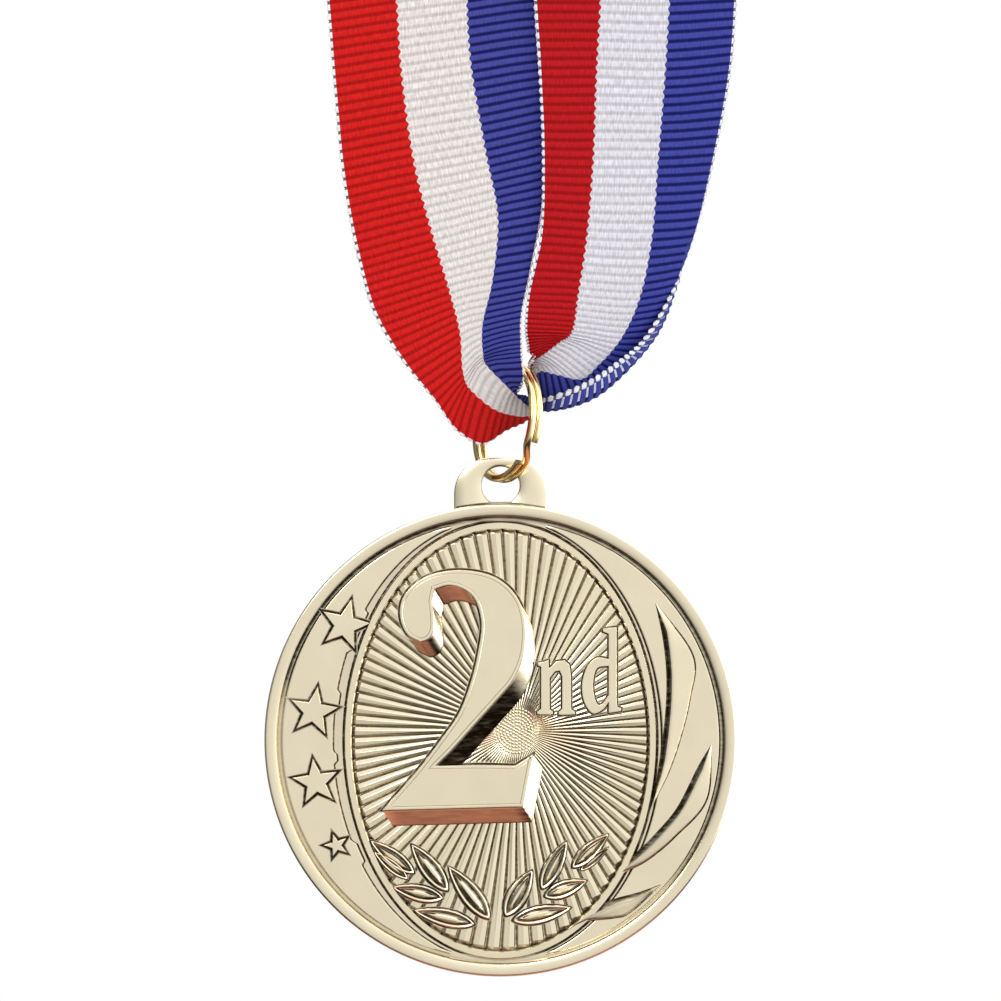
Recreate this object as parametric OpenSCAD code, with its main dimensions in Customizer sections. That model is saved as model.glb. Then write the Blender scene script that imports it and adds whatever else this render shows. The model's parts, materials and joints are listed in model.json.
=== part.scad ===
// Prize medal on a neck ribbon: a cast disc with its own lug, a two-turn split ring,
// and a striped ribbon sewn into a loop. Millimetres, +Z up, the medal's face looks to -Y.
// The origin is the inside of the loop at its highest point, where it lies on a neck or a peg.

/* [Medal] */
// Diameter of the disc
medal_d = 50.8; // [45:0.1:75]
// Thickness at the rim
rim_t = 3.0; // [2.6:0.1:4.5]
// Thickness of the disc behind its lowered field
field_t = 2.2; // [1.6:0.1:2.4]
// Width of the raised rim
rim_w = 1.35; // [0.8:0.05:2.4]
// Half width of the oval that holds the numeral
oval_x = 16.4; // [12:0.1:18]
// Half height of that oval
oval_z = 23.1; // [18:0.1:23.6]
// Width of the line that frames the oval
oval_line = 1.0; // [0.6:0.1:1.6]
// Height of the small relief above the field
relief_h = 0.5; // [0.2:0.05:0.7]
// Height of the numeral above the field
numeral_h = 1.3; // [0.6:0.05:1.6]

/* [Lug] */
// Width of the lug
lug_w = 10; // [8:0.1:12]
// Thickness of the lug
lug_t = 2.0; // [1.4:0.1:2.1]
// Radius of the lug's upper corners
lug_corner = 3.9; // [3.4:0.1:3.95]
// Diameter of the hole that the ring passes through
hole_d = 4.1; // [3.9:0.05:5]
// Distance from the disc's edge up to the middle of the hole
hole_rise = 2.0; // [1.6:0.1:2.6]
// Metal left above the hole
lug_bar = 0.95; // [0.8:0.05:2]

/* [Ring] */
// Outside diameter of the split ring
ring_od = 13; // [12:0.1:16]
// Height of the ring's wire, across the ring
wire_h = 0.8; // [0.6:0.05:0.9]
// Width of one turn of wire, along the ring's axis
wire_w = 0.74; // [0.5:0.02:0.78]
// Space between the two turns
turn_gap = 0.04; // [0.02:0.01:0.06]
// Angle of the ring's axis, turned from the medal's left to right line
ring_turn = 29; // [20:1:40]
// Lean of the ring to its free side, out of the upright
ring_lean = 8; // [0:1:12]
// Gap between the ring's wire and what it hangs in or carries
ring_gap = 0.12; // [0.08:0.01:0.2]

/* [Ribbon] */
// Width of the ribbon
ribbon_w = 22.2; // [18:0.1:24]
// Thickness of the plain ribbon
ribbon_t = 0.5; // [0.3:0.05:0.6]
// Distance from the top of the loop down to the middle of the gather
ribbon_drop = 388; // [250:1:480]
// Inside radius of the loop at its top
loop_r = 27; // [20:1:60]
// Radius of the gathered ribbon where it bears on the ring
gather_r = 2.0; // [1.6:0.1:2.2]
// Length of the sewn lap that joins the two ends
lap_l = 20; // [14:1:30]

/* [Seam] */
// Length of one stitch
stitch_l = 2.2; // [1.5:0.1:3]
// Thickness of the sewing thread
thread_d = 0.3; // [0.2:0.05:0.4]
// Number of stitches across the ribbon in each row
stitch_n = 7; // [5:1:8]

/* [Hidden] */
$fn = 96;

medal_r = medal_d / 2;
ring_ro = ring_od / 2;
ring_ri = ring_ro - wire_h;
ring_w = 2 * wire_w + turn_gap;
turn_off = (wire_w + turn_gap) / 2;

// the ring hangs from the gather, and the hole's upper wall hangs on the ring's lowest point;
// the ring leans about that point, so the gather stands a little to one side of it
axis_n = [cos(ring_turn), sin(ring_turn), 0];
axis_t = [sin(ring_turn), -cos(ring_turn), 0];
gather_up = ring_ri - gather_r - ring_gap;
pivot_down = ring_ri + wire_h / 2;
gather_off = (gather_up + pivot_down) * sin(ring_lean) * axis_n;
gather_z = -ribbon_drop;
pivot_z = gather_z - (gather_up + pivot_down) * cos(ring_lean);
ring_z = pivot_z + pivot_down;
// how far each side of the wire reaches along the medal where it slants through the lug
slant_x = ring_w / 2 * cos(ring_turn) + lug_t / 2 * tan(ring_turn) + ring_w / 2 * sin(ring_turn) * tan(ring_turn);
// how far the ring has curved up where it leaves the lug's faces
leave_t = lug_t / 2 / cos(ring_turn) + ring_w / 2 * tan(ring_turn);
wire_rise = ring_ri - sqrt(ring_ri * ring_ri - leave_t * leave_t);
wire_top = sqrt(pow(hole_d / 2, 2) - pow(slant_x, 2)) - wire_rise - ring_gap;
hole_z = ring_z - ring_ri - wire_top;
disc_z = hole_z - hole_rise - medal_r;

// distances out of the back of the disc, towards the face
lug_back = 0.15;
face_z = field_t;
// the lug's middle plane, which hangs under the ring
lug_mid = lug_back + lug_t / 2;

// ------- small helpers
function unit(v) = v / norm(v);
function mix(a, b, f) = a + (b - a) * f;
function ease(f) = f * f * (3 - 2 * f);
function ellipse_pts(a, b, n = 72) = [for (i = [0:n - 1]) [a * cos(360 * i / n), b * sin(360 * i / n)]];
function star_pts(r, inner = 0.42) =
    [for (i = [0:9]) let (q = i % 2 == 0 ? r : r * inner) [q * sin(36 * i), q * cos(36 * i)]];
function leaf_pts(l, w, n = 6) = concat(
    [for (i = [0:n]) [w / 2 * sin(180 * i / n), l * i / n]],
    [for (i = [1:n - 1]) [-w / 2 * sin(180 * i / n), l * (n - i) / n]]);

// puts a flat drawing's x and y on the medal's face, its z towards the viewer, from the disc's back
module on_medal() translate([0, lug_mid, disc_z]) rotate([90, 0, 0]) children();

module raised(h, sink = 0.2) translate([0, 0, face_z - sink]) linear_extrude(h + sink) children();

// ------- medal casting

numeral = [
    [-10.6, 12.2], [-10.7, 14.2], [-9.8, 16.2], [-7.8, 17.7], [-5.4, 18.3], [-2.9, 18.2], [-0.4, 17.4],
    [1.5, 15.8], [2.5, 13.7], [2.7, 11.5], [2.1, 9.0], [0.7, 6.5], [-1.6, 3.4], [-4.6, -0.6], [-6.9, -2.7],
    [-2.4, -2.5], [1.6, -2.7], [3.4, -1.6], [3.4, -2.6], [2.5, -6.9], [-5.0, -7.1], [-12.6, -7.4],
    [-9.6, -4.0], [-6.6, 0.2], [-4.2, 4.4], [-2.7, 8.4], [-2.1, 11.6], [-2.3, 14.5], [-3.4, 16.2],
    [-5.0, 16.7], [-6.6, 16.2], [-7.0, 14.6], [-6.5, 12.4], [-7.2, 10.9], [-8.7, 10.4], [-10.0, 11.0]];

// each star: middle x, middle y, radius, turn
stars = [[-16.7, 12.4, 2.8, -14], [-20.1, 3.1, 2.7, -9], [-19.8, -4.5, 2.5, 8], [-17.6, -11.3, 1.3, 18]];

// each leaf: base x, base y, length, direction, width
leaves = [
    [-9.6, -14.4, 5.4, 38, 1.9], [-6.2, -16.2, 5.9, 36, 2.1], [-6.4, -17.0, 5.3, 78, 1.8],
    [-1.3, -19.1, 7.0, 38, 2.2], [-2.8, -19.7, 6.4, 77, 1.9], [7.8, -13.6, 5.2, -46, 1.8],
    [4.4, -15.8, 5.7, -30, 2.0], [0.4, -18.9, 5.9, -34, 2.2], [4.8, -16.8, 4.9, -68, 1.8],
    [1.4, -19.5, 6.3, -78, 1.9]];

blade_a = [[16.6, 15.0], [17.8, 7.8], [17.7, 1.8], [16.7, -4.1], [14.6, -11.9], [16.4, -7.3],
    [18.4, -3.2], [20.1, 2.0], [20.9, 6.4], [20.6, 9.3]];
blade_b = [[22.6, -0.4], [21.3, -2.8], [18.9, -7.5], [16.5, -10.2], [13.9, -13.6], [15.8, -12.9],
    [18.9, -10.4], [22.0, -6.6]];
blade_c = [[17.3, -15.5], [12.4, -17.1], [8.2, -20.6], [11.0, -19.9], [14.0, -18.4]];

module lug_outline() {
    corner_x = lug_w / 2 - lug_corner;
    top = medal_r + hole_rise + hole_d / 2 + lug_bar;
    foot = medal_r - 3;
    for (s = [-1, 1]) translate([s * corner_x, top - lug_corner]) circle(lug_corner);
    translate([-corner_x, top - lug_corner]) square([2 * corner_x, lug_corner]);
    translate([-lug_w / 2, foot]) square([lug_w, top - lug_corner - foot]);
}

module letter_n() {
    translate([4.3, 2.8]) square([0.9, 5.6]);
    translate([6.5, 2.8]) square([0.9, 4.6]);
    translate([5.0, 7.2]) square([2.2, 0.9]);
}

module letter_d() {
    difference() {
        polygon([for (p = ellipse_pts(1.9, 3.0, 32)) p + [10.6, 5.8]]);
        polygon([for (p = ellipse_pts(0.9, 2.3, 32)) p + [10.6, 5.8]]);
    }
    translate([11.6, 2.9]) square([0.9, 9.0]);
}

module medal_casting() color([0.91, 0.87, 0.75]) on_medal() {
    difference() {
        union() {
            cylinder(r = medal_r, h = rim_t);
            translate([0, 0, lug_back]) linear_extrude(lug_t) lug_outline();
        }
        translate([0, 0, field_t]) cylinder(r = medal_r - rim_w, h = rim_t);
        translate([0, medal_r + hole_rise, -1]) cylinder(d = hole_d, h = rim_t + 2);
    }
    raised(relief_h) difference() {
        polygon(ellipse_pts(oval_x + oval_line / 2, oval_z + oval_line / 2));
        polygon(ellipse_pts(oval_x - oval_line / 2, oval_z - oval_line / 2));
    }
    raised(numeral_h) polygon(numeral);
    raised(relief_h) letter_n();
    raised(relief_h) letter_d();
    for (s = stars) raised(relief_h) translate([s[0], s[1]]) rotate(s[3]) polygon(star_pts(s[2]));
    for (l = leaves) raised(relief_h) translate([l[0], l[1]]) rotate(l[3]) polygon(leaf_pts(l[2], l[4]));
    for (b = [blade_a, blade_b, blade_c]) raised(relief_h) polygon(b);
}

// ------- split ring

// where the wire steps from one turn to the other, measured round from the ring's lowest point
step_from = 44;
step_angle = 26;

module wire_slice(side) translate([ring_ri, side * turn_off - wire_w / 2]) square([wire_h, wire_w]);

module turn(side) rotate([0, 0, step_angle])
    rotate_extrude(angle = 360 - step_angle) wire_slice(side);

module wire_step() {
    parts = 4;
    for (i = [0:parts - 1]) hull() for (j = [i, i + 1])
        rotate([0, 0, step_angle * j / parts]) rotate([90, 0, 0])
            linear_extrude(0.02, center = true) wire_slice(mix(1, -1, ease(j / parts)));
}

module split_ring() color([0.86, 0.72, 0.45]) translate([0, 0, pivot_z])
    rotate([0, 0, ring_turn]) rotate([0, ring_lean, 0]) translate([0, 0, pivot_down])
    rotate([0, 90, 0]) rotate([0, 0, step_from - 90]) {
        turn(1);
        turn(-1);
        wire_step();
    }

// ------- neck ribbon

// stations of each tail above the gather: height, middle x, middle y, width as a share of the
// whole, thickness, turn of the width about the vertical
left_tail = [
    [-0.4, -3.6, -2.2, 0.28, 2.6, -10], [3.5, -6.2, -3.4, 0.50, 1.3, -5], [8.5, -6.7, -3.2, 0.72, 0.7, 0],
    [16, -6.4, -2.6, 0.90, 0, 3], [28, -6.6, -2.2, 0.98, 0, 4], [44, -7.6, -2.0, 1, 0, 3],
    [70, -9.4, -1.8, 1, 0, -6], [110, -12.5, -1.5, 1, 0, -22], [160, -16.5, -1.2, 1, 0, -42],
    [220, -21, -0.8, 1, 0, -64], [280, -24.8, -0.4, 1, 0, -80], [325, -26.7, 0, 1, 0, -88]];
right_tail = [
    [-0.6, 3.9, 1.8, 0.28, 2.6, -10], [3.0, 7.8, 1.8, 0.44, 1.3, -5], [8.5, 10.6, 1.4, 0.62, 0.7, 0],
    [16, 13.2, 1.2, 0.76, 0, 3], [28, 14.9, 1.0, 0.88, 0, 4], [44, 15.6, 1.0, 1, 0, 3],
    [70, 16.8, 1.0, 1, 0, -6], [110, 18.8, 1.0, 1, 0, -22], [160, 21.2, 0.9, 1, 0, -42],
    [220, 23.8, 0.6, 1, 0, -64], [280, 26.0, 0.3, 1, 0, -80], [325, 26.9, 0, 1, 0, -88]];
// the gather itself, from the left tail to the right: place along the ring's axis
gather_stations = [-2.4, -0.8, 0.8, 2.4];
gather_dir = cos(ring_lean) * axis_n - [0, 0, sin(ring_lean)];

// the stations above this height stretch with the drop and spread with the loop
shaped_h = 44;
stated_top = 361;
stated_half = 27.25;
loop_mid = loop_r + ribbon_t / 2;
arc_steps = 24;
function up(h) = max(0, h - shaped_h) / (stated_top - shaped_h);
function tail_h(h) = min(h, shaped_h) + up(h) * (ribbon_drop - loop_r - shaped_h);
function tail_x(x, h) = x + sign(x) * (loop_mid - stated_half) * ease(up(h));
// the lowest stations follow the gather to its place beside the ring's foot
function follow(h) = 1 - ease(min(1, max(0, h + 1) / 20));
function station(s) = [[tail_x(s[1], s[0]), s[2], gather_z + tail_h(s[0])] + follow(s[0]) * gather_off,
    s[3] * ribbon_w, ribbon_t + s[4], s[5]];
// two smooth steps for each station of a tail
function smooth(a, b, c, d, f) = 0.5 * (2 * b + (c - a) * f + (2 * a - 5 * b + 4 * c - d) * f * f
    + (3 * b - a - 3 * c + d) * f * f * f);
function tail(rows) = let (n = len(rows)) [for (i = [0:n - 1]) for (f = i == n - 1 ? [0] : [0, 0.5])
    station(f == 0 ? rows[i] : smooth(rows[max(i - 1, 0)], rows[i], rows[i + 1], rows[min(i + 2, n - 1)], f))];
function backwards(rows) = [for (i = [len(rows) - 1:-1:0]) rows[i]];
// the lap's two layers lie at the top of the loop
lap_half = lap_l / loop_r * 90 / PI;
function arc_station(a) = [loop_mid * [cos(a), 0, sin(a)] + [0, 0, -loop_r], ribbon_w,
    abs(a - 90) < lap_half ? 2 * ribbon_t : ribbon_t, -90];

route = concat(
    backwards(tail(left_tail)),
    [for (g = gather_stations) [g * gather_dir + gather_off + [0, 0, gather_z], 2 * gather_r, 2 * gather_r, -60]],
    tail(right_tail),
    [for (i = [0:arc_steps]) arc_station(180 * i / arc_steps)]);

// one cross-section: flat on the tails and nearly round in the gather
section_n = 4;
function section(w, t) = let (round = min(1, t / w)) concat(
    [for (i = [0:section_n - 1]) let (a = 180 - 180 * (i + 0.5) / section_n)
        [w / 2 * mix(mix(-1, 1, i / (section_n - 1)), cos(a), round), t / 2 * mix(1, sin(a), round)]],
    [for (i = [0:section_n - 1]) let (a = -180 * (i + 0.5) / section_n)
        [w / 2 * mix(mix(1, -1, i / (section_n - 1)), cos(a), round), t / 2 * mix(-1, sin(a), round)]]);

function ribbon_ring(i) = let (
    n = len(route),
    s = route[i],
    along = unit(route[(i + 1) % n][0] - route[(i + n - 1) % n][0]),
    across0 = [cos(s[3]), sin(s[3]), 0],
    across = unit(across0 - (across0 * along) * along),
    out = cross(along, across),
    lift = s[2] / 2 - ribbon_t / 2)
    [for (p = section(s[1], s[2])) s[0] + p[0] * across + (p[1] + (s[2] < 2.1 * ribbon_t ? lift : 0)) * out];

module neck_ribbon() color([0.75, 0.2, 0.25]) {
    rings = [for (i = [0:len(route) - 1]) ribbon_ring(i)];
    n = len(rings);
    m = len(rings[0]);
    polyhedron(
        points = [for (r = rings) for (p = r) p],
        // both faces of the ribbon are cut along the same diagonals, so a twist keeps its thickness
        faces = [for (i = [0:n - 1]) for (j = [0:m - 1])
            let (k = (i + 1) % n, l = (j + 1) % m, a = i * m + j, b = k * m + j, c = i * m + l, d = k * m + l)
                each j < section_n ? [[a, b, c], [c, b, d]] : [[a, b, d], [a, d, c]]]);
}

// ------- seam stitching

module seam_stitching() color([0.95, 0.95, 0.95]) {
    pitch = (ribbon_w - 2) / stitch_n;
    seam_r = loop_r + ribbon_t;
    for (a = [-1, 1]) for (i = [0:stitch_n - 1])
        translate([0, 0, -loop_r]) rotate([0, a * (lap_half - 6), 0])
            translate([0, (i + 0.5 - stitch_n / 2) * pitch, seam_r]) {
                for (side = [-1, 1]) translate([0, 0, side * ribbon_t])
                    rotate([90, 0, 0]) cylinder(d = thread_d, h = stitch_l, center = true, $fn = 16);
            }
}

neck_ribbon();
seam_stitching();
split_ring();
medal_casting();
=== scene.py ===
import json
import math
import bpy
import numpy as np
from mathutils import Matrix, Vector


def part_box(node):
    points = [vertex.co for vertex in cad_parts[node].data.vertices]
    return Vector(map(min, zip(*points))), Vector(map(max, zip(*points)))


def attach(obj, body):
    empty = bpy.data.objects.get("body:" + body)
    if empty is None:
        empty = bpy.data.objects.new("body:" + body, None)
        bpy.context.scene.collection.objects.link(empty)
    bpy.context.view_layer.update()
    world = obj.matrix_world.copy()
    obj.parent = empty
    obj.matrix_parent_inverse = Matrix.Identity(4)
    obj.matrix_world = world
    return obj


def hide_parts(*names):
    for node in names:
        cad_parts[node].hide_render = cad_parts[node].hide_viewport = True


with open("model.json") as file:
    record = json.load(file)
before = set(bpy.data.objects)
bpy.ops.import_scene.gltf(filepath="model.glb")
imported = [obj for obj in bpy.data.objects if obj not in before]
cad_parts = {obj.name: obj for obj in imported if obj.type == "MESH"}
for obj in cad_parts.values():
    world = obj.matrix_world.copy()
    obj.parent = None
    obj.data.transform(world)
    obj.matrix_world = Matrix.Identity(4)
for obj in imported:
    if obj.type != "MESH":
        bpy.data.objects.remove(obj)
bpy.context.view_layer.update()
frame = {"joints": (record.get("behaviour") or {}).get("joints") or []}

# everything below is worked in millimetres and put away in metres
mm = 0.001


def jointOf(name):
    found = [j for j in frame["joints"] if j["name"] == name][0]
    return np.array(found["pos_m"]) / mm, np.array(found["axis"])


medalLow, medalHigh = [np.array(c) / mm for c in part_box("medal_casting")]
gatherAt, gatherDir = jointOf("ring_swing")
pivotAt, ringTangent = jointOf("medal_swing")
discRadius = (medalHigh[0] - medalLow[0]) / 2
discUp = medalLow[2] + discRadius
backY = medalHigh[1]


studio = dict(
    cameraAway=520.0, frameWidth=108.0, aimRight=0.0, aimUp=25.8,
    floorDrop=95.0, floorRadius=800.0, keyPower=4.0, sidePower=2.0,
    mirrorLevel=1.0, softLevel=0.72)


def makeCamera(s):
    data = bpy.data.cameras.new("camera")
    data.sensor_width = 36.0
    data.lens = 36.0 * s["cameraAway"] / s["frameWidth"]
    data.clip_start = 0.02
    cam = bpy.data.objects.new("camera", data)
    cam.location = Vector((s["aimRight"], -s["cameraAway"], discUp + s["aimUp"])) * mm
    cam.rotation_euler = (math.radians(90), 0, 0)
    bpy.context.collection.objects.link(cam)
    bpy.context.scene.camera = cam


def areaLight(name, place, aim, size, power, colour=(1, 1, 1)):
    data = bpy.data.lights.new(name, "AREA")
    data.shape = "RECTANGLE"
    data.size, data.size_y = size
    data.energy = power
    data.color = colour
    lamp = bpy.data.objects.new(name, data)
    lamp.location = Vector(place)
    lamp.rotation_euler = (Vector(aim) - Vector(place)).to_track_quat("-Z", "Y").to_euler()
    bpy.context.collection.objects.link(lamp)
    return lamp


def nodeTree(owner):
    owner.use_nodes = True
    tree = owner.node_tree
    tree.nodes.clear()
    return tree


def addNode(tree, kind, **settings):
    node = tree.nodes.new(kind)
    for key, value in settings.items():
        setattr(node, key, value)
    return node


def mathNode(tree, operation, a, b=None, c=None, clamp=False):
    node = addNode(tree, "ShaderNodeMath", operation=operation, use_clamp=clamp)
    for socket, value in zip(node.inputs, (a, b, c)):
        if value is None:
            continue
        if isinstance(value, (int, float)):
            socket.default_value = value
        else:
            tree.links.new(value, socket)
    return node.outputs[0]


def plainMaterial(name, colour, roughness=0.8):
    mat = bpy.data.materials.new(name)
    tree = nodeTree(mat)
    shader = addNode(tree, "ShaderNodeBsdfPrincipled")
    shader.inputs["Roughness"].default_value = roughness
    shader.inputs["Base Color"].default_value = (*colour, 1)
    out = addNode(tree, "ShaderNodeOutputMaterial")
    tree.links.new(shader.outputs[0], out.inputs[0])
    return mat


def makeStage(s):
    bpy.ops.mesh.primitive_circle_add(
        vertices=96, radius=s["floorRadius"] * mm, fill_type="NGON",
        location=(0, 0, (medalLow[2] - s["floorDrop"]) * mm))
    floor = bpy.context.object
    floor.name = "floor"
    floor.data.materials.append(plainMaterial("paleFloor", (0.86, 0.86, 0.86)))

    floor.visible_glossy = False

    # the metal sees dark and copper tones from below and a bright room on its right
    world = bpy.data.worlds.new("studio")
    bpy.context.scene.world = world
    tree = nodeTree(world)
    link = tree.links.new
    coord = addNode(tree, "ShaderNodeTexCoord")
    split = addNode(tree, "ShaderNodeSeparateXYZ")
    link(coord.outputs["Generated"], split.inputs[0])
    height = addNode(tree, "ShaderNodeValToRGB")
    bands = [(0.00, (0.26, 0.10, 0.07)), (0.05, (0.40, 0.17, 0.125)), (0.11, (0.36, 0.15, 0.11)),
             (0.16, (0.01, 0.01, 0.01)), (0.245, (0.015, 0.014, 0.013)), (0.31, (0.33, 0.32, 0.31)),
             (0.42, (0.42, 0.42, 0.42)), (0.60, (0.46, 0.46, 0.46)),
             (0.78, (0.56, 0.56, 0.57)), (1.0, (1, 1, 1))]
    while len(height.color_ramp.elements) < len(bands):
        height.color_ramp.elements.new(0.5)
    for element, (position, colour) in zip(height.color_ramp.elements, bands):
        element.position = position
        element.color = (*colour, 1)
    link(mathNode(tree, "MULTIPLY_ADD", split.outputs["Z"], 0.5, 0.5), height.inputs[0])
    side = addNode(tree, "ShaderNodeValToRGB")
    sides = [(0.0, 0.16), (0.22, 0.30), (0.42, 0.82), (0.60, 0.92), (0.80, 1.25), (1.0, 2.4)]
    while len(side.color_ramp.elements) < len(sides):
        side.color_ramp.elements.new(0.5)
    for element, (position, value) in zip(side.color_ramp.elements, sides):
        element.position = position
        element.color = (value / 2.4, value / 2.4, value / 2.4, 1)
    link(mathNode(tree, "MULTIPLY_ADD", split.outputs["X"], 0.5, 0.5), side.inputs[0])
    both = addNode(tree, "ShaderNodeVectorMath", operation="MULTIPLY")
    link(height.outputs[0], both.inputs[0])
    link(side.outputs[0], both.inputs[1])
    mirrored = addNode(tree, "ShaderNodeBackground")
    mirrored.inputs["Strength"].default_value = 2.4 * 2.25 * s["mirrorLevel"]
    link(both.outputs[0], mirrored.inputs["Color"])
    soft = addNode(tree, "ShaderNodeBackground")
    soft.inputs["Color"].default_value = (0.97, 0.98, 1.0, 1)
    soft.inputs["Strength"].default_value = s["softLevel"]
    seen = addNode(tree, "ShaderNodeBackground")
    seen.inputs["Strength"].default_value = 1.0
    seen.inputs["Color"].default_value = (1, 1, 1, 1)
    path = addNode(tree, "ShaderNodeLightPath")
    first = addNode(tree, "ShaderNodeMixShader")
    link(path.outputs["Is Glossy Ray"], first.inputs[0])
    link(soft.outputs[0], first.inputs[1])
    link(mirrored.outputs[0], first.inputs[2])
    last = addNode(tree, "ShaderNodeMixShader")
    link(path.outputs["Is Camera Ray"], last.inputs[0])
    link(first.outputs[0], last.inputs[1])
    link(seen.outputs[0], last.inputs[2])
    out = addNode(tree, "ShaderNodeOutputWorld")
    link(last.outputs[0], out.inputs[0])

    aim = Vector((0, 0, discUp + 20)) * mm
    areaLight("keyLight", (-0.35, -0.75, discUp * mm + 0.55), aim, (0.5, 0.5), s["keyPower"])
    areaLight("sideLight", (0.75, -0.28, discUp * mm + 0.02), aim, (0.35, 0.6), s["sidePower"])


bpy.context.scene.view_settings.view_transform = "Standard"
makeCamera(studio)
makeStage(studio)
print("camera and studio ready")


def onFace(x, y, h):
    return (x, backY - h, discUp + y)


# each point carries a painted shade value, stored as the 'shade' attribute and read by the gold material
class Builder:
    def __init__(self):
        self.points = []
        self.shades = []
        self.faces = []

    def loop(self, pts, h, shade):
        first = len(self.points)
        heights = h if hasattr(h, "__len__") else [h] * len(pts)
        shades = shade if hasattr(shade, "__len__") else [shade] * len(pts)
        for (x, y), up, dark in zip(pts, heights, shades):
            self.points.append(onFace(x, y, up))
            self.shades.append(float(dark))
        return list(range(first, first + len(pts)))

    def bridge(self, a, b, closed=True):
        n = len(a)
        for i in range(n if closed else n - 1):
            j = (i + 1) % n
            self.faces.append((a[i], a[j], b[j], b[i]))

    def cap(self, ids, flip=False):
        self.faces.append(tuple(reversed(ids)) if flip else tuple(ids))

    # painted shade in the rim trench: kept dark at the upper left and right, where the light leaves it in
    # shade, and lightened elsewhere
    def lightenTrench(self, inner):
        for i, (x, _, z) in enumerate(self.points):
            r = math.hypot(x, z - discUp)
            if r > inner and self.shades[i] > 0:
                a = math.degrees(math.atan2(z - discUp, x))
                strong = max(0, 1 - max(0, abs(a - 128) - 32) / 14)
                fair = max(0, 1 - max(0, abs(a - 28) - 58) / 16) * 0.72
                self.shades[i] *= max(0.16, strong, fair)

    def mesh(self, name):
        me = bpy.data.meshes.new(name)
        me.from_pydata([tuple(c * mm for c in p) for p in self.points], [], self.faces)
        me.validate()
        layer = me.attributes.new("shade", "FLOAT", "POINT")
        layer.data.foreach_set("value", self.shades)
        me.shade_smooth()
        me.set_sharp_from_angle(angle=math.radians(28))
        return me


def newObject(name, me, *materials):
    obj = bpy.data.objects.new(name, me)
    bpy.context.collection.objects.link(obj)
    for m in materials:
        me.materials.append(m)
    return obj


def area2(pts):
    p = np.array(pts)
    q = np.roll(p, -1, axis=0)
    return float(np.sum(p[:, 0] * q[:, 1] - q[:, 0] * p[:, 1]))


def anticlockwise(pts):
    return list(pts) if area2(pts) > 0 else list(reversed(pts))


def offset(pts, by, limit=2.2):
    p = np.array(pts, float)
    a = p - np.roll(p, 1, axis=0)
    b = np.roll(p, -1, axis=0) - p
    a /= np.linalg.norm(a, axis=1)[:, None]
    b /= np.linalg.norm(b, axis=1)[:, None]
    na = np.stack([a[:, 1], -a[:, 0]], 1)
    nb = np.stack([b[:, 1], -b[:, 0]], 1)
    mid = na + nb
    mid /= np.maximum(np.linalg.norm(mid, axis=1), 1e-6)[:, None]
    grow = np.minimum(1 / np.maximum(np.sum(mid * na, axis=1), 1e-3), limit)
    return [tuple(q) for q in p + mid * (by * grow)[:, None]]


def spline(pts, steps=6):
    p = [np.array(q, float) for q in pts]
    out = []
    for i in range(len(p) - 1):
        p0 = p[i - 1] if i else 2 * p[0] - p[1]
        p3 = p[i + 2] if i + 2 < len(p) else 2 * p[-1] - p[-2]
        for k in range(steps):
            f = k / steps
            out.append(0.5 * (2 * p[i] + (p[i + 1] - p0) * f
                              + (2 * p0 - 5 * p[i] + 4 * p[i + 1] - p3) * f * f
                              + (3 * p[i] - p0 - 3 * p[i + 1] + p3) * f ** 3))
    out.append(p[-1])
    return [tuple(q) for q in out]


def outlineOf(*runs, steps=6):
    pts = []
    for run in runs:
        piece = spline(run, steps) if len(run) > 2 else [tuple(q) for q in run]
        pts += piece[:-1]
    return anticlockwise(pts)


def ellipse(a, b, n, cx=0.0, cy=0.0):
    turns = [2 * math.pi * i / n for i in range(n)]
    return [(cx + a * math.cos(t), cy + b * math.sin(t)) for t in turns]


medal = dict(
    rimTop=3.0, rimInner=24.05, field=2.2, edgeRound=0.25,
    lugBack=0.15, lugTop=2.15, lugHalf=5.0, lugCorner=3.9, holeRadius=2.05, holeUp=27.4, lugArch=30.4,
    ovalX=16.4, ovalY=23.1, ovalLine=1.0, ovalTop=2.78,
    burstX=1.7, burstY=1.0, rayCount=90, rayTop=0.30, dotPitch=0.34, dotRings=7,
    panelTop=2.55, panelOuter=23.72, panelGap=1.0,
    numeralTop=3.50, numeralFall=(1.05, -1.75), letterTop=2.96,
    starTop=2.92, leafTop=2.90, bladeTop=2.86)


def lathe(b, profile, n=192):
    rings = []
    for r, h, shade in profile:
        rings.append(b.loop([(r * math.cos(2 * math.pi * i / n), r * math.sin(2 * math.pi * i / n))
                             for i in range(n)], h, shade))
    for lower, upper in zip(rings, rings[1:]):
        b.bridge(lower, upper)
    return rings


def makeDisc(b, m):
    e = m["edgeRound"]
    r = discRadius
    arc = [(r - e + e * math.sin(a), e - e * math.cos(a), 0) for a in np.linspace(0, math.pi / 2, 5)]
    quarter = np.linspace(0, math.pi / 2, 5)
    top = [(r - e + e * math.cos(a), m["rimTop"] - e + e * math.sin(a), 0) for a in quarter]
    # painted shade at the foot of the rim's inner wall, darkest where the wall meets the field
    inner = [(m["rimInner"] + 0.25, m["rimTop"], 0.0), (m["rimInner"] + 0.08, m["rimTop"] - 0.08, 0.25),
             (m["rimInner"] - 0.05, m["rimTop"] - 0.35, 0.7), (m["rimInner"] - 0.12, m["field"], 1.0),
             (m["rimInner"] - 0.28, m["field"], 0.5), (m["rimInner"] - 0.5, m["field"], 0.08)]
    rings = lathe(b, arc + top + inner)
    b.cap(rings[0], flip=True)
    b.cap(rings[-1])


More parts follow.
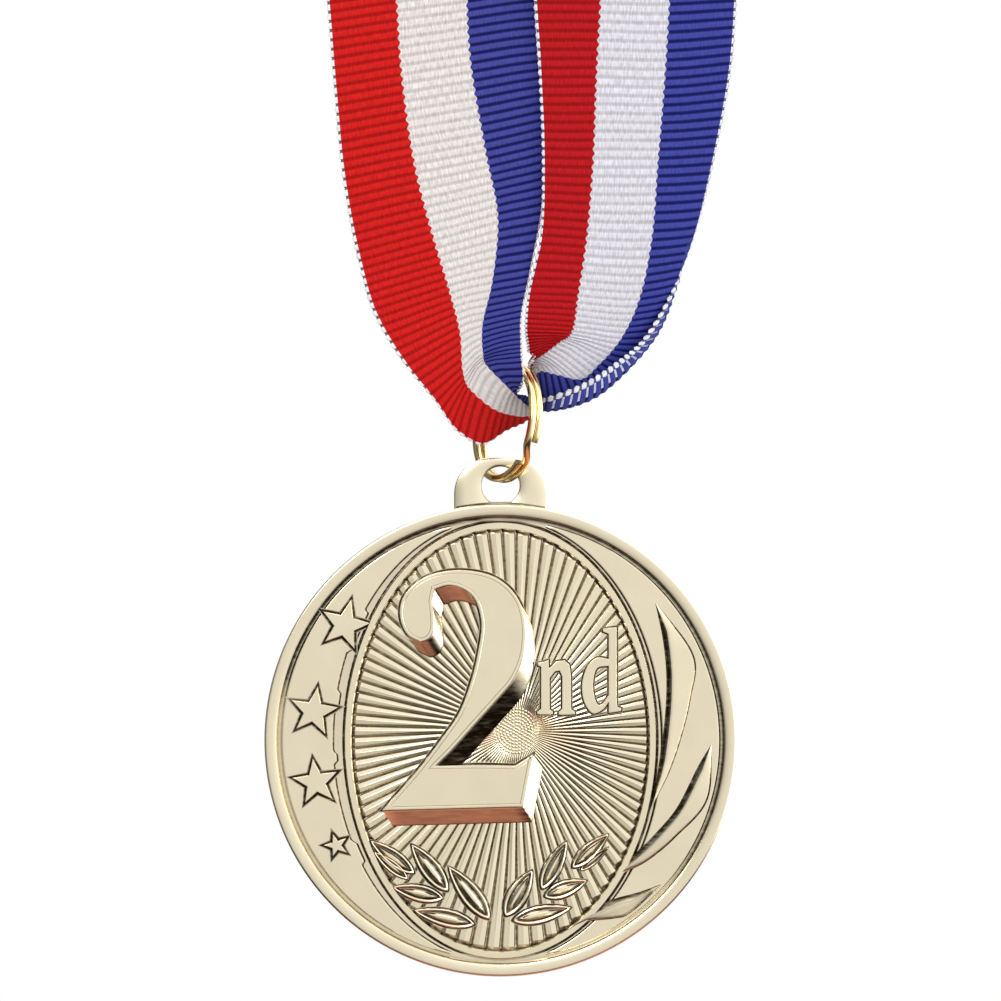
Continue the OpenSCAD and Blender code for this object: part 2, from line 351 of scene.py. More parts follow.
def lugRadius(angle, m):
    c, s = math.cos(angle), math.sin(angle)
    cornerX, cornerY = m["lugHalf"] - m["lugCorner"], m["lugArch"] - m["lugCorner"] - m["holeUp"]
    low, high = 0.0, 12.0
    for _ in range(40):
        mid = (low + high) / 2
        x, y = abs(mid * c), mid * s
        if y > cornerY:
            dx = max(x - cornerX, 0)
            inside = dx * dx + (y - cornerY) ** 2 < m["lugCorner"] ** 2
        else:
            inside = x < m["lugHalf"] and y > -6.0
        low, high = (mid, high) if inside else (low, mid)
    return low


def makeLug(b, m, n=144):
    angles = [2 * math.pi * i / n for i in range(n)]
    outer = [(math.cos(a) * lugRadius(a, m), m["holeUp"] + math.sin(a) * lugRadius(a, m)) for a in angles]
    hole = [(m["holeRadius"] * math.cos(a), m["holeUp"] + m["holeRadius"] * math.sin(a)) for a in angles]
    e = 0.18
    back, top = m["lugBack"], m["lugTop"]
    # painted shade round the edge of the hole
    chain = [
        (hole, back + e, 0.35), (offset(hole, e), back, 0.1), (offset(outer, -e), back, 0.0),
        (outer, back + e, 0.0), (outer, top - e, 0.0), (offset(outer, -e * 0.4), top - e * 0.3, 0.0),
        (offset(outer, -e), top, 0.0), (offset(hole, e * 1.3), top, 0.0),
        (offset(hole, e * 0.4), top - e * 0.4, 0.2),
        (hole, top - e, 0.5)]
    rings = [b.loop(p, h, s) for p, h, s in chain]
    for lower, upper in zip(rings, rings[1:]):
        b.bridge(lower, upper)
    b.bridge(rings[-1], rings[0])


# a thin strip of painted shade where the lug meets the rim
def makeLugJoinShade(b, m, n=40):
    rings = []
    for r, h, shade in ((discRadius - 0.03, 2.20, 1.0), (discRadius + 0.03, 2.18, 1.0),
                        (discRadius + 0.16, 2.172, 0.9),
                        (discRadius + 0.22, 2.165, 0.2), (discRadius + 0.26, 2.13, 0.0)):
        half = math.asin((m["lugHalf"] - 0.2) / r)
        angles = np.linspace(math.pi / 2 + half, math.pi / 2 - half, n)
        rings.append(b.loop([(r * math.cos(a), r * math.sin(a)) for a in angles], h, shade))
    for low, high in zip(rings, rings[1:]):
        b.bridge(low, high, closed=False)


# raised relief with a ring of painted shade round its foot and up its walls; dark sets how dark, skirt how
# far out the shaded ring spreads; inner adds a thin line of painted shade inside the top face
def relief(b, outline, base, top, run=0.12, round=0.08, dark=1.0, skirt=0.22, inner=0):
    out = anticlockwise(outline)
    chain = [
        (offset(out, run + skirt), base - 0.25, 0.0), (offset(out, run + skirt), base + 0.012, 0.0),
        (offset(out, run + skirt * 0.35), base + 0.014, dark), (offset(out, run), base + 0.03, dark),
        (offset(out, run * 0.3), base + (top - base) * 0.55, dark * 0.75), (out, top - round, dark * 0.25),
        (offset(out, -round * 0.5), top - round * 0.25, 0.0), (offset(out, -round * 1.4), top, 0.0),
        (offset(out, -round * 1.4 - 0.10), top, 0.0)]
    if inner:
        chain += [(offset(out, -inner), top, 0.0), (offset(out, -inner - 0.04), top - 0.03, 0.45),
                  (offset(out, -inner - 0.09), top - 0.015, 0.0),
                  (offset(out, -inner - 0.12), top - 0.015, 0.0)]
    rings = [b.loop(p, h, s) for p, h, s in chain]
    for lower, upper in zip(rings, rings[1:]):
        b.bridge(lower, upper)
    b.cap(rings[-1])


# the oval band, with painted shade in the lines along both of its edges
def makeOval(b, m, n=180):
    half = m["ovalLine"] / 2
    chain = [
        (-half - 0.30, m["field"] + 0.02, 0.1), (-half - 0.20, m["field"] + 0.04, 1.0),
        (-half, m["field"] + 0.06, 1.0),
        (-half + 0.10, m["ovalTop"] - 0.15, 0.55), (-half + 0.2, m["ovalTop"], 0.0),
        (half - 0.2, m["ovalTop"], 0.0), (half - 0.10, m["ovalTop"] - 0.12, 0.45),
        (half, m["field"] + 0.06, 1.0),
        (half + 0.14, m["field"] + 0.04, 0.9)]
    base = ellipse(m["ovalX"], m["ovalY"], n)
    rings = [b.loop(offset(base, d), h, s) for d, h, s in reversed(chain)]
    for lower, upper in zip(rings, rings[1:]):
        b.bridge(lower, upper)


# how far in from the edge, how far up the wall, how dark the painted shade
edgeSteps = [(0.0, 0.0, 1.0), (0.06, 0.03, 1.0), (0.15, 0.55, 0.7),
             (0.20, 0.92, 0.2), (0.28, 1.0, 0.0), (0.40, 1.0, 0.0)]


# a raised band between two edges, each edge with a line of painted shade; darkA and darkB set how dark, boldA
# how wide the first edge's shaded line is
def crescent(b, edgeA, edgeB, base, topA, topB, darkA=1.0, darkB=1.0, boldA=1.0):
    rings = []
    for (ax, ay), (bx, by) in zip(edgeA, edgeB):
        w = math.hypot(bx - ax, by - ay)
        if w < 0.06:
            continue
        rise = min(1, w / 0.6)
        reach = min(1, w / (0.42 * (1 + boldA)))
        first = len(b.points)
        for flip in (False, True):
            for d, up, shade in (reversed(edgeSteps) if flip else edgeSteps):
                f = d * reach / w * (1 if flip else boldA)
                top = topA + (topB - topA) * (1 - f if flip else f)
                f = 1 - f if flip else f
                height = base + (top - base) * up * rise
                b.points.append(onFace(ax + (bx - ax) * f, ay + (by - ay) * f, height))
                b.shades.append(shade * (darkB if flip else darkA))
        rings.append(list(range(first, len(b.points))))
    for low, high in zip(rings, rings[1:]):
        b.bridge(low, high, closed=False)


def makePanel(b, m, side, n=300):
    ex = m["ovalX"] + m["ovalLine"] / 2 + (m["panelGap"] if side < 0 else 0.35)
    ey = m["ovalY"] + m["ovalLine"] / 2 + 0.20
    r = m["panelOuter"]
    rim, oval = [], []
    for t in np.linspace(-1.50, 1.50, n):
        x, y = r * math.cos(t), r * math.sin(t)
        py = y * 0.985
        px = ex * math.sqrt(max(0, 1 - (py / ey) ** 2))
        if side < 0:
            for high, low, deep in ((14.0, 9.4, 0.55), (5.4, 3.4, 0.4), (-1.2, -2.6, 0.4),
                                    (-10.8, -13.4, 0.5)):
                edge = min(high - py, py - low)
                px -= deep * min(1, max(0, edge / 0.35))
        if x - px > 0.1:
            rim.append((side * x, y))
            oval.append((side * px, py))
    one, two = (oval, rim) if side > 0 else (rim, oval)
    crescent(b, one, two, m["field"] + 0.03, m["panelTop"], m["panelTop"])


numeralOuter = [
    (-8.6, 10.6), (-10.0, 11.4), (-10.75, 13.0), (-10.7, 14.8), (-9.8, 16.3), (-8.0, 17.6), (-5.6, 18.25),
    (-3.2, 18.25), (-0.9, 17.7), (0.9, 16.5), (2.1, 14.8), (2.6, 12.8), (2.65, 10.8), (2.3, 8.7), (1.3, 6.5),
    (-0.2, 4.7), (-2.9, 1.7), (-5.3, -1.0), (-7.0, -2.7)]
numeralInner = [
    (-12.7, -7.5), (-9.1, -3.4), (-6.5, 0.0), (-4.5, 2.9), (-3.2, 6.3), (-2.4, 9.6),
    (-2.05, 12.6), (-2.7, 15.1),
    (-4.0, 16.3), (-5.6, 16.7), (-7.1, 16.3)]
numeralBall = [(-7.1, 16.3), (-7.35, 15.0), (-7.2, 13.6), (-7.2, 12.0), (-7.7, 11.0), (-8.6, 10.6)]
numeralFoot = [(-7.0, -2.7), (-2.4, -2.62), (1.6, -2.7)]


def makeNumeral(b, m):
    out = outlineOf(
        numeralOuter, numeralFoot, [(1.6, -2.7), (3.5, -1.5)], [(3.5, -1.5), (3.1, -3.4), (2.4, -7.1)],
        [(2.4, -7.1), (-5.0, -7.3), (-12.7, -7.5)], numeralInner, numeralBall)
    top, base = m["numeralTop"], m["field"] + m["rayTop"] + 0.03
    relief(b, out, base, top, run=0.10, round=0.06, skirt=0.16, inner=0.30)
    dx, dy = m["numeralFall"]
    drop = top - 0.10 - base
    steps = [(0.0, top - 0.05, 0.0), (0.02, top - 0.06, 0.5), (0.07, top - 0.10, 0.0),
             (0.12, top - 0.10 - 0.055 * drop, 0.0),
             (0.88, top - 0.10 - 0.87 * drop, 0.05), (0.93, top - 0.10 - 0.92 * drop, 0.45),
             (1.0, base, 0.9), (1.02, base - 0.35, 1.0)]
    # walls facing down and to the lower right are painted darker, standing in for the shade and dark
    # reflections they show
    facing = np.array(offset(out, 0.1)) - np.array(offset(out, -0.1))
    facing = np.degrees(np.arctan2(facing[:, 1], facing[:, 0]))
    facingShade = 0.92 * np.exp(-((facing + 44) / 17) ** 2) + 0.34 * np.exp(-((facing + 90) / 20) ** 2)
    rings = []
    for f, h, dark in reversed(steps):
        wall = 0 if f < 0.1 else 1      # only the side wall gets the painted shade, not the face
        moved = [(x + dx * f, y + dy * f) for x, y in offset(out, -0.02)]
        rings.append(b.loop(moved, h, np.maximum(dark, facingShade * wall)))
    for lower, upper in zip(rings, rings[1:]):
        b.bridge(lower, upper)
    b.cap(rings[-1])


def makeLetters(b, m):
    base, top = m["field"] + m["rayTop"] + 0.03, m["letterTop"]
    letterN = [
        (4.0, 8.35), (4.6, 8.45), (5.2, 8.65), (5.22, 7.75), (6.0, 8.5), (6.9, 8.62), (7.4, 8.15),
        (7.58, 7.0), (7.6, 3.35),
        (8.0, 3.1), (8.0, 2.8), (6.25, 2.75), (6.25, 3.05), (6.62, 3.35), (6.62, 6.9), (6.35, 7.5),
        (5.85, 7.4), (5.28, 6.7),
        (5.3, 3.35), (5.65, 3.1), (5.65, 2.8), (3.95, 2.8), (3.95, 3.1), (4.35, 3.35), (4.35, 7.9),
        (4.0, 8.05)]
    stemD = [(11.0, 12.0), (12.5, 12.2), (12.5, 4.0), (12.62, 3.6), (13.0, 3.45), (12.95, 3.15),
             (11.62, 2.95), (11.62, 11.45),
             (11.0, 11.7)]
    bowlD = outlineOf([(11.75, 8.75), (10.4, 8.9), (9.3, 7.9), (8.75, 6.0), (9.0, 4.1), (9.9, 2.9),
                       (11.0, 3.3), (11.75, 4.3)],
                      [(11.75, 4.3), (11.65, 4.9)],
                      [(11.65, 4.9), (10.9, 3.9), (10.3, 4.1), (9.95, 5.9), (10.35, 7.7), (11.65, 8.0)],
                      [(11.65, 8.0), (11.75, 8.75)], steps=5)
    for i, outline in enumerate((letterN, stemD, bowlD)):
        relief(b, outline, base, top + 0.012 * i, run=0.07, round=0.05, skirt=0.12)


stars = [(-16.75, 12.4, 2.75, -14), (-20.1, 3.1, 2.65, -9), (-19.85, -4.5, 2.5, 8), (-17.65, -11.3, 1.25, 18)]


def makeStars(b, m):
    for cx, cy, r, turn in stars:
        pts = []
        for i in range(10):
            q = r if i % 2 == 0 else r * 0.42
            a = math.radians(36 * i - turn)
            pts.append((cx + q * math.sin(a), cy + q * math.cos(a)))
        relief(b, pts, m["panelTop"], m["starTop"], run=0.14, round=0.06, skirt=0.24)


# base x, base y, tip x, tip y, width
leaves = [
    (-9.3, -14.3, -14.0, -10.8, 1.7), (-10.0, -14.9, -13.6, -12.0, 1.2), (-5.7, -16.2, -9.6, -11.2, 2.1),
    (-6.2, -17.0, -11.6, -15.8, 1.8), (-1.2, -19.2, -5.6, -13.6, 2.2), (-2.8, -19.8, -9.3, -18.3, 1.9),
    (7.7, -13.7, 11.6, -10.1, 1.7), (8.6, -14.0, 11.6, -11.5, 1.0), (4.4, -16.0, 7.1, -10.9, 1.9),
    (0.5, -18.9, 3.4, -14.0, 2.2), (4.7, -16.8, 9.3, -15.1, 1.8), (1.3, -19.4, 7.6, -18.0, 1.9)]


def makeLeaves(b, m, n=26):
    base, top = m["field"] + m["rayTop"] + 0.03, m["leafTop"]
    # painted shade round each leaf's foot and inside its raised outline
    chain = [(1.16, 0.04, base + 0.01, 0.0), (1.08, 0.02, base + 0.02, 1.0), (1.0, 0.0, base + 0.1, 0.9),
             (0.92, -0.01, top - 0.06, 0.3), (0.80, -0.03, top, 0.0), (0.64, -0.06, top - 0.05, 0.1),
             (0.52, -0.09, base + 0.1, 0.9), (0.36, -0.14, base + 0.14, 0.5), (0.12, -0.22, base + 0.34, 0.0)]
    for bx, by, tx, ty, w in leaves:
        axis = np.array([tx - bx, ty - by])
        length = np.linalg.norm(axis)
        axis = axis / length
        side = np.array([-axis[1], axis[0]])
        rings = []
        for share, extra, h, shade in chain:
            pts = []
            for i in range(n):
                t = 2 * math.pi * i / n
                along = 0.5 - 0.5 * math.cos(t) * (1 + 2 * extra)
                taper = (0.35 + 0.65 * abs(math.sin(t))) * (1 + 0.25 * math.cos(t))
                across = 0.5 * w * share * math.sin(t) * taper
                pts.append(tuple(np.array([bx, by]) + axis * along * length + side * across))
            pts = pts if area2(pts) > 0 else pts[::-1]
            rings.append(b.loop(pts, h, shade))
        for lower, upper in zip(rings, rings[1:]):
            b.bridge(lower, upper)
        b.cap(rings[-1])


# each blade: its bold left edge and its fine right edge, from the lower tip to the upper one
blades = [
    ([(14.6, -11.9), (15.9, -8.0), (16.8, -4.1), (17.6, 1.6), (17.85, 6.4), (17.5, 10.6), (16.6, 15.0)],
     [(14.6, -11.9), (16.3, -7.3), (18.2, -3.4), (19.5, 0.4), (20.5, 4.6), (20.8, 9.2), (16.6, 15.0)]),
    ([(11.0, -16.6), (13.9, -12.9), (16.6, -10.1), (19.0, -7.2), (21.2, -2.9), (22.75, -0.3)],
     [(11.2, -16.9), (12.9, -14.6), (15.8, -13.0), (18.9, -10.4), (22.3, -6.4), (22.75, -0.3)]),
    ([(6.6, -20.6), (9.0, -18.9), (11.9, -17.2), (15.0, -16.3), (17.5, -15.4)],
     [(6.8, -21.0), (9.2, -19.6), (12.2, -19.2), (14.0, -18.6), (17.5, -15.4)])]


def evenly(pts, n=90):
    p = np.array(spline(pts, 12))
    at = np.concatenate([[0], np.cumsum(np.linalg.norm(np.diff(p, axis=0), axis=1))])
    where = np.linspace(0, at[-1], n)
    return list(zip(np.interp(where, at, p[:, 0]), np.interp(where, at, p[:, 1])))


# the bold left edge carries a wide line of painted shade, the fine right edge a narrower, lighter one
def makeBlades(b, m):
    for bold, fine in blades:
        one, two = evenly(bold), evenly(fine)
        crescent(b, one[::-1], two[::-1], m["panelTop"] + 0.01, m["bladeTop"] + 0.10,
                 m["bladeTop"] - 0.16, 1.0, 0.9, 3.0)


def goldMaterial(name, colour, dark, roughness, grain=1.0):
    mat = bpy.data.materials.new(name)
    tree = nodeTree(mat)
    shader = addNode(tree, "ShaderNodeBsdfPrincipled")
    shader.inputs["Metallic"].default_value = 1.0
    coord = addNode(tree, "ShaderNodeTexCoord")
    shade = addNode(tree, "ShaderNodeAttribute", attribute_name="shade")
    mottle = addNode(tree, "ShaderNodeTexNoise")
    mottle.inputs["Scale"].default_value = 260.0
    mottle.inputs["Detail"].default_value = 3.0
    tree.links.new(coord.outputs["Object"], mottle.inputs["Vector"])
    tone = addNode(tree, "ShaderNodeMix", data_type="RGBA")
    tone.inputs["A"].default_value = (*[c * 0.93 for c in colour], 1)
    tone.inputs["B"].default_value = (*[min(1, c * 1.05) for c in colour], 1)
    tree.links.new(mottle.outputs["Fac"], tone.inputs["Factor"])
    # the 'shade' attribute mixes in the dark colour: painted shade, broken into streaks by a stretched noise
    paintedShadeMix = addNode(tree, "ShaderNodeMix", data_type="RGBA")
    paintedShadeMix.inputs["B"].default_value = (*dark, 1)
    tree.links.new(tone.outputs["Result"], paintedShadeMix.inputs["A"])
    stretch = addNode(tree, "ShaderNodeMapping")
    stretch.inputs["Scale"].default_value = (420.0, 900.0, 2600.0)
    tree.links.new(coord.outputs["Object"], stretch.inputs["Vector"])
    streak = addNode(tree, "ShaderNodeTexNoise")
    streak.inputs["Scale"].default_value = 1.0
    streak.inputs["Detail"].default_value = 3.0
    tree.links.new(stretch.outputs[0], streak.inputs["Vector"])
    uneven = mathNode(tree, "MULTIPLY_ADD", streak.outputs["Fac"], 1.5, 0.3)
    streakyPaintedShade = mathNode(tree, "MULTIPLY", shade.outputs["Fac"], uneven, clamp=True)
    depth = mathNode(tree, "POWER", streakyPaintedShade, 0.8, clamp=True)
    tree.links.new(depth, paintedShadeMix.inputs["Factor"])
    tree.links.new(paintedShadeMix.outputs["Result"], shader.inputs["Base Color"])
    rough = addNode(tree, "ShaderNodeMapRange")
    rough.inputs["To Min"].default_value = roughness * 0.85
    rough.inputs["To Max"].default_value = roughness * 1.2
    tree.links.new(mottle.outputs["Fac"], rough.inputs["Value"])
    tree.links.new(rough.outputs[0], shader.inputs["Roughness"])
    fine = addNode(tree, "ShaderNodeTexNoise")
    fine.inputs["Scale"].default_value = 2600.0
    fine.inputs["Detail"].default_value = 2.0
    tree.links.new(coord.outputs["Object"], fine.inputs["Vector"])
    bump = addNode(tree, "ShaderNodeBump")
    bump.inputs["Strength"].default_value = 0.10 * grain
    bump.inputs["Distance"].default_value = 0.00005
    tree.links.new(fine.outputs["Fac"], bump.inputs["Height"])
    tree.links.new(bump.outputs[0], shader.inputs["Normal"])
    out = addNode(tree, "ShaderNodeOutputMaterial")
    tree.links.new(shader.outputs[0], out.inputs[0])
    return mat


# the third value of each gold is the colour of its painted shade
medalGold = goldMaterial("paleGoldPlate", (0.925, 0.825, 0.605), (0.045, 0.028, 0.014), 0.22)
ringGold = goldMaterial("yellowGoldWire", (0.80, 0.62, 0.30), (0.10, 0.06, 0.02), 0.16, grain=0.5)


def makeMedal(m):
    b = Builder()
    makeDisc(b, m)
    makeLug(b, m)
    makeLugJoinShade(b, m)
    makeOval(b, m)
    for side in (-1, 1):
        makePanel(b, m, side)
    makeNumeral(b, m)
    makeLetters(b, m)
    makeStars(b, m)
    makeLeaves(b, m)
    makeBlades(b, m)
    b.lightenTrench(m["panelOuter"] - 0.4)
    return b.mesh("medal")


def nodeGroup(name, inputs):
    group = bpy.data.node_groups.new(name, "GeometryNodeTree")
    group.interface.new_socket("Geometry", in_out="INPUT", socket_type="NodeSocketGeometry")
    for label, kind, value in inputs:
        socket = group.interface.new_socket(label, in_out="INPUT", socket_type=kind)
        if value is not None:
            socket.default_value = value
    group.interface.new_socket("Geometry", in_out="OUTPUT", socket_type="NodeSocketGeometry")
    return group, addNode(group, "NodeGroupInput"), addNode(group, "NodeGroupOutput")


def applyNodes(obj, group, values):
    mod = obj.modifiers.new(group.name, "NODES")
    mod.node_group = group
    for item in group.interface.items_tree:
        if item.item_type == "SOCKET" and item.in_out == "INPUT" and item.name in values:
            mod[item.identifier] = values[item.name]
    depsgraph = bpy.context.evaluated_depsgraph_get()
    made = bpy.data.meshes.new_from_object(obj.evaluated_get(depsgraph), depsgraph=depsgraph)
    obj.modifiers.clear()
    old = obj.data
    obj.data = made
    bpy.data.meshes.remove(old)
    return obj


# one ray of the sunburst lies along +x from 0 to 1 and is spread round the burst's middle,
# each cut to the oval
def rayMesh(m):
    half = math.pi / m["rayCount"]
    rows = [(0.08, 0.0), (0.12, 0.5), (0.2, 1.0), (0.5, 1.0), (0.985, 1.0), (1.0, 0.3)]
    # painted shade in the grooves between rays, lighter near the middle
    across = [(-1.0, 0.0, 0.72), (-0.88, 0.15, 0.42), (-0.70, 0.80, 0.0), (0.0, 1.0, 0.0),
              (0.70, 0.80, 0.0), (0.88, 0.15, 0.42), (1.0, 0.0, 0.72)]
    verts, shades, faces = [], [], []
    for r, lift in rows:
        for side, up, shade in across:
            a = half * side
            verts.append((r * math.cos(a), r * math.sin(a), m["rayTop"] * up * lift))
            shades.append(shade if r > 0.12 else shade * 0.6)
    k = len(across)
    for i in range(len(rows) - 1):
        for j in range(k - 1):
            p = i * k + j
            faces.append((p, p + k, p + k + 1, p + 1))
    me = bpy.data.meshes.new("ray")
    me.from_pydata(verts, [], faces)
    layer = me.attributes.new("shade", "FLOAT", "POINT")
    layer.data.foreach_set("value", shades)
    return me


def sunburstNodes():
    group, put, out = nodeGroup("sunburst", [
        ("Rays", "NodeSocketInt", 90), ("Centre X", "NodeSocketFloat", 0.0),
        ("Centre Y", "NodeSocketFloat", 0.0),
        ("Oval X", "NodeSocketFloat", 16.0), ("Oval Y", "NodeSocketFloat", 22.0),
        ("Material", "NodeSocketMaterial", None)])
    link = group.links.new
    get = put.outputs
    line = addNode(group, "GeometryNodeMeshLine")
    link(get["Rays"], line.inputs["Count"])
    line.inputs["Offset"].default_value = (0, 0, 0)
    index = addNode(group, "GeometryNodeInputIndex")
    turn = mathNode(group, "DIVIDE", index.outputs[0], get["Rays"])
    angle = mathNode(group, "MULTIPLY", turn, 2 * math.pi)
    c, s = mathNode(group, "COSINE", angle), mathNode(group, "SINE", angle)
    aa = mathNode(group, "MULTIPLY", get["Oval X"], get["Oval X"])
    bb = mathNode(group, "MULTIPLY", get["Oval Y"], get["Oval Y"])

    def overBoth(p, q):
        return mathNode(group, "ADD", mathNode(group, "DIVIDE", p, aa), mathNode(group, "DIVIDE", q, bb))

    def times(p, q):
        return mathNode(group, "MULTIPLY", p, q)

    square = overBoth(times(c, c), times(s, s))
    cross = overBoth(times(get["Centre X"], c), times(get["Centre Y"], s))
    rest = mathNode(group, "SUBTRACT", overBoth(times(get["Centre X"], get["Centre X"]),
                                                times(get["Centre Y"], get["Centre Y"])), 1.0)
    root = mathNode(group, "SQRT", mathNode(group, "SUBTRACT", times(cross, cross), times(square, rest)))
    length = mathNode(group, "DIVIDE", mathNode(group, "SUBTRACT", root, cross), square)
    scale = addNode(group, "ShaderNodeCombineXYZ")
    link(length, scale.inputs[0])
    link(length, scale.inputs[1])
    scale.inputs[2].default_value = 1.0
    spin = addNode(group, "ShaderNodeCombineXYZ")
    link(angle, spin.inputs[2])
    place = addNode(group, "ShaderNodeCombineXYZ")
    link(get["Centre X"], place.inputs[0])
    link(get["Centre Y"], place.inputs[1])
    spread = addNode(group, "GeometryNodeInstanceOnPoints")
    link(line.outputs[0], spread.inputs["Points"])
    link(get["Geometry"], spread.inputs["Instance"])
    link(spin.outputs[0], spread.inputs["Rotation"])
    link(scale.outputs[0], spread.inputs["Scale"])
    real = addNode(group, "GeometryNodeRealizeInstances")
    link(spread.outputs[0], real.inputs[0])
    move = addNode(group, "GeometryNodeTransform")
    link(real.outputs[0], move.inputs["Geometry"])
    link(place.outputs[0], move.inputs["Translation"])
    paint = addNode(group, "GeometryNodeSetMaterial")
    link(move.outputs[0], paint.inputs["Geometry"])
    link(get["Material"], paint.inputs["Material"])
    link(paint.outputs[0], out.inputs[0])
    return group


def makeSunburst(m):
    obj = newObject("sunburst", rayMesh(m))
    inner = m["ovalLine"] / 2
    applyNodes(obj, sunburstNodes(), {
        "Rays": m["rayCount"], "Centre X": m["burstX"], "Centre Y": m["burstY"],
        "Oval X": m["ovalX"] - inner, "Oval Y": m["ovalY"] - inner, "Material": medalGold})
    me = obj.data
    co = np.zeros(len(me.vertices) * 3)
    me.vertices.foreach_get("co", co)
    co = co.reshape(-1, 3)
    world = np.stack([co[:, 0], backY - (m["field"] + 0.02 + co[:, 2]), discUp + co[:, 1]], 1) * mm
    me.vertices.foreach_set("co", world.ravel())
    me.update()
    return obj


def dotNodes():
    group, put, out = nodeGroup("dottedMiddle", [
        ("Dot", "NodeSocketFloat", 0.2), ("Flat", "NodeSocketFloat", 0.5),
        ("Material", "NodeSocketMaterial", None)])
    link = group.links.new
    get = put.outputs
    ball = addNode(group, "GeometryNodeMeshIcoSphere")
    ball.inputs["Subdivisions"].default_value = 2
    link(get["Dot"], ball.inputs["Radius"])
    squash = addNode(group, "ShaderNodeCombineXYZ")
    squash.inputs[0].default_value = 1.0
    squash.inputs[1].default_value = 1.0
    link(get["Flat"], squash.inputs[2])
    spread = addNode(group, "GeometryNodeInstanceOnPoints")
    link(get["Geometry"], spread.inputs["Points"])
    link(ball.outputs[0], spread.inputs["Instance"])
    link(squash.outputs[0], spread.inputs["Scale"])
    real = addNode(group, "GeometryNodeRealizeInstances")
    link(spread.outputs[0], real.inputs[0])
    paint = addNode(group, "GeometryNodeSetMaterial")
    link(real.outputs[0], paint.inputs["Geometry"])
    link(get["Material"], paint.inputs["Material"])
    link(paint.outputs[0], out.inputs[0])
    return group


def makeDots(m):
    pts = [(0, 0, 0)]
    for k in range(1, m["dotRings"] + 1):
        count = 6 * k
        for i in range(count):
            a = 2 * math.pi * (i + 0.5 * (k % 2)) / count
            pts.append((k * m["dotPitch"] * math.cos(a), k * m["dotPitch"] * math.sin(a), 0))
    me = bpy.data.meshes.new("dotPlaces")
    me.from_pydata(pts, [], [])
    obj = newObject("dottedMiddle", me)
    applyNodes(obj, dotNodes(), {"Dot": m["dotPitch"] * 0.47, "Flat": 0.55, "Material": medalGold})
    me = obj.data
    co = np.zeros(len(me.vertices) * 3)
    me.vertices.foreach_get("co", co)
    co = co.reshape(-1, 3)
    world = np.stack([m["burstX"] + co[:, 0], backY - (m["field"] + 0.12 + co[:, 2]),
                      discUp + m["burstY"] + co[:, 1]], 1) * mm
    me.vertices.foreach_set("co", world.ravel())
    me.shade_smooth()
    me.update()
    return obj


medalObject = newObject("medal", makeMedal(medal), medalGold)
sunburst = makeSunburst(medal)
dots = makeDots(medal)
for piece in (medalObject, sunburst, dots):
    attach(piece, "medal")
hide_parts("medal_casting")
print("medal made")


ring = dict(meanRadius=6.1, wireHigh=0.80, wireWide=0.74, wireRound=0.27, turnOffset=0.39,
            stepFrom=136.0, stepAngle=26.0, steps=110)

ringAxis = np.array(gatherDir) / np.linalg.norm(gatherDir)
ringUp = np.cross(ringTangent, ringAxis)
ringUp = ringUp * np.sign(ringUp[2])
ringMid = np.array(pivotAt) + ringUp * ring["meanRadius"]


def ringPath(r):
    sweep = 360 - r["stepAngle"]
    first = [(r["stepFrom"] - r["stepAngle"] - sweep * f, 1.0) for f in np.linspace(0, 1, r["steps"])]
    between = np.linspace(0, 1, 12)[1:-1]
    cross = [(r["stepFrom"] - r["stepAngle"] * f, 1 - 2 * f * f * (3 - 2 * f)) for f in between]
    last = [(r["stepFrom"] - r["stepAngle"] - sweep * f, -1.0) for f in np.linspace(0, 1, r["steps"])]
    return first + cross + last


def ringNodes():
    group, put, out = nodeGroup("coiledWire", [
        ("High", "NodeSocketFloat", 0.8), ("Wide", "NodeSocketFloat", 0.74),
        ("Corner", "NodeSocketFloat", 0.2),
        ("Material", "NodeSocketMaterial", None)])
    link = group.links.new
    get = put.outputs
    curve = addNode(group, "GeometryNodeMeshToCurve")
    link(get["Geometry"], curve.inputs[0])
    upright = addNode(group, "GeometryNodeSetCurveNormal", mode="Z_UP")
    link(curve.outputs[0], upright.inputs[0])
    section = addNode(group, "GeometryNodeCurvePrimitiveQuadrilateral", mode="RECTANGLE")
    link(get["High"], section.inputs["Width"])
    link(get["Wide"], section.inputs["Height"])
    soft = addNode(group, "GeometryNodeFilletCurve", mode="POLY")
    link(section.outputs[0], soft.inputs[0])
    soft.inputs["Count"].default_value = 4
    link(get["Corner"], soft.inputs["Radius"])
    sweep = addNode(group, "GeometryNodeCurveToMesh")
    link(upright.outputs[0], sweep.inputs["Curve"])
    link(soft.outputs[0], sweep.inputs["Profile Curve"])
    sweep.inputs["Fill Caps"].default_value = True
    real = addNode(group, "GeometryNodeRealizeInstances")
    link(sweep.outputs[0], real.inputs[0])
    paint = addNode(group, "GeometryNodeSetMaterial")
    link(real.outputs[0], paint.inputs["Geometry"])
    link(get["Material"], paint.inputs["Material"])
    link(paint.outputs[0], out.inputs[0])
    return group


def moveMesh(me, change):
    co = np.zeros(len(me.vertices) * 3)
    me.vertices.foreach_get("co", co)
    me.vertices.foreach_set("co", change(co.reshape(-1, 3)).ravel())
    me.update()


def onRing(c):
    return (ringMid + c[:, :1] * ringUp + c[:, 1:2] * ringTangent + c[:, 2:] * ringAxis) * mm


